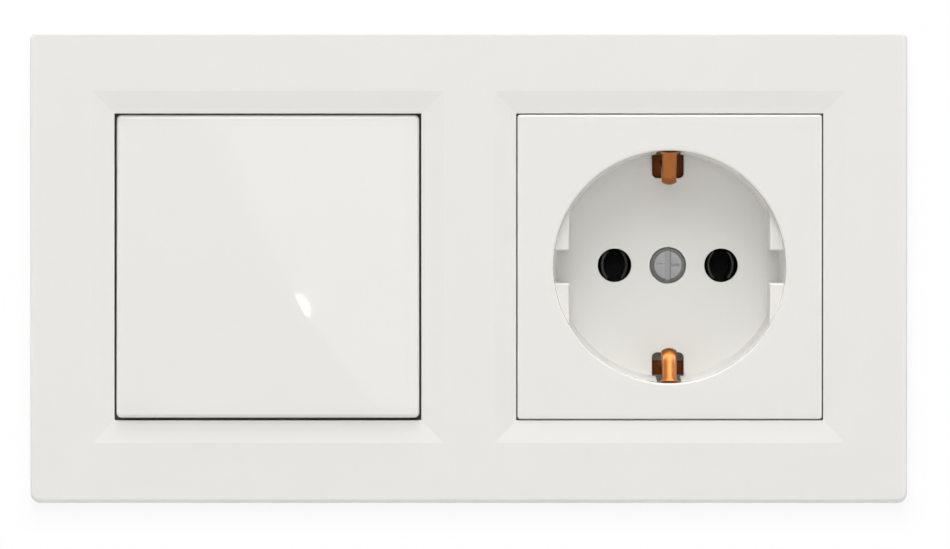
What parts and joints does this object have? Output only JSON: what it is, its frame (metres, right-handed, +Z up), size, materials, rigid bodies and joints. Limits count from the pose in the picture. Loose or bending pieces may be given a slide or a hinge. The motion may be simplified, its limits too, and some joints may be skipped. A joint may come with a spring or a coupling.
{
  "type": "switch and socket combination",
  "caption": "Flush rocker light switch and earthed round-pin socket side by side under one white cover frame, with bases, contacts and spreading claws.",
  "frame": {"origin": "centre of the cover frame, on the wall plane, on the small foot of the frame's middle rib", "axes": "+X to the right seen from the front, +Y back into the wall, +Z up; the front faces -Y"},
  "size_m": [0.155, 0.0414, 0.0834],
  "materials": {
    "white_plastic": "pure white moulded plastic with a soft gloss",
    "pale_grey_plastic": "satin light grey moulded plastic",
    "grey_plastic": "satin mid grey moulded plastic",
    "black_plastic": "black moulded plastic",
    "zinc_plated_steel": "bright zinc plating",
    "grey_screw": "dull grey passivated steel",
    "brass": "bare brass",
    "silver_contact": "bright silver alloy contact face",
    "copper": "copper coloured spring bronze"
  },
  "bodies": {
    "mechanism": {"cover_frame": "white_plastic", "socket_cover": "white_plastic", "cover_screw": "grey_screw", "switch_support_plate": "zinc_plated_steel", "socket_support_plate": "zinc_plated_steel", "switch_base": "pale_grey_plastic", "switch_bearing_cover": "pale_grey_plastic", "socket_base": "grey_plastic", "earth_bracket": "copper", "line_contact": "brass", "neutral_contact": "brass", "line_shroud": "black_plastic", "neutral_shroud": "black_plastic", "common_contact": "brass", "upper_contact": "brass", "lower_contact": "brass", "switch_common_terminal": "brass", "switch_upper_terminal": "brass", "switch_lower_terminal": "brass", "switch_common_terminal_screw": "zinc_plated_steel", "switch_upper_terminal_screw": "zinc_plated_steel", "switch_lower_terminal_screw": "zinc_plated_steel", "line_terminal": "brass", "neutral_terminal": "brass", "earth_terminal": "brass", "line_terminal_screw": "zinc_plated_steel", "neutral_terminal_screw": "zinc_plated_steel", "earth_terminal_screw": "zinc_plated_steel", "switch_plate_rivet_lower": "zinc_plated_steel", "switch_plate_rivet_upper": "zinc_plated_steel", "socket_plate_rivet_lower": "zinc_plated_steel", "socket_plate_rivet_upper": "zinc_plated_steel", "switch_claw_screw_left": "zinc_plated_steel", "switch_claw_screw_right": "zinc_plated_steel", "socket_claw_screw_left": "zinc_plated_steel", "socket_claw_screw_right": "zinc_plated_steel"},
    "rocker": {"rocker": "white_plastic", "rocker_cradle": "pale_grey_plastic", "cradle_spring": "zinc_plated_steel", "plunger": "white_plastic"},
    "contact_seesaw": {"contact_seesaw": "brass", "seesaw_rivet_lower": "silver_contact", "seesaw_rivet_upper": "silver_contact"},
    "switch_claw_left": {"switch_claw_left": "zinc_plated_steel"},
    "switch_claw_right": {"switch_claw_right": "zinc_plated_steel"},
    "socket_claw_left": {"socket_claw_left": "zinc_plated_steel"},
    "socket_claw_right": {"socket_claw_right": "zinc_plated_steel"}
  },
  "joints": [
    {"name": "rocker_tilt", "type": "hinge", "parent": "mechanism", "child": "rocker", "pos_m": [-0.0355, -0.006, 0], "axis": [1, 0, 0], "range_deg": [0, 4]},
    {"name": "contact_tilt", "type": "hinge", "parent": "mechanism", "child": "contact_seesaw", "pos_m": [-0.0355, 0.01113, 0], "axis": [1, 0, 0], "range_deg": [-7.2, 0]},
    {"name": "switch_claw_left_swing", "type": "hinge", "parent": "mechanism", "child": "switch_claw_left", "pos_m": [-0.0557, 0.0032, 0.012], "axis": [0, 0, 1], "range_deg": [0, 15]},
    {"name": "switch_claw_right_swing", "type": "hinge", "parent": "mechanism", "child": "switch_claw_right", "pos_m": [-0.0153, 0.0032, -0.012], "axis": [0, 0, -1], "range_deg": [0, 15]},
    {"name": "socket_claw_left_swing", "type": "hinge", "parent": "mechanism", "child": "socket_claw_left", "pos_m": [0.0153, 0.0032, 0.012], "axis": [0, 0, 1], "range_deg": [0, 15]},
    {"name": "socket_claw_right_swing", "type": "hinge", "parent": "mechanism", "child": "socket_claw_right", "pos_m": [0.0557, 0.0032, -0.012], "axis": [0, 0, -1], "range_deg": [0, 15]}
  ],
  "couplings": [
    {"joint": "contact_tilt", "follows": "rocker_tilt", "ratio": -1.8}
  ]
}
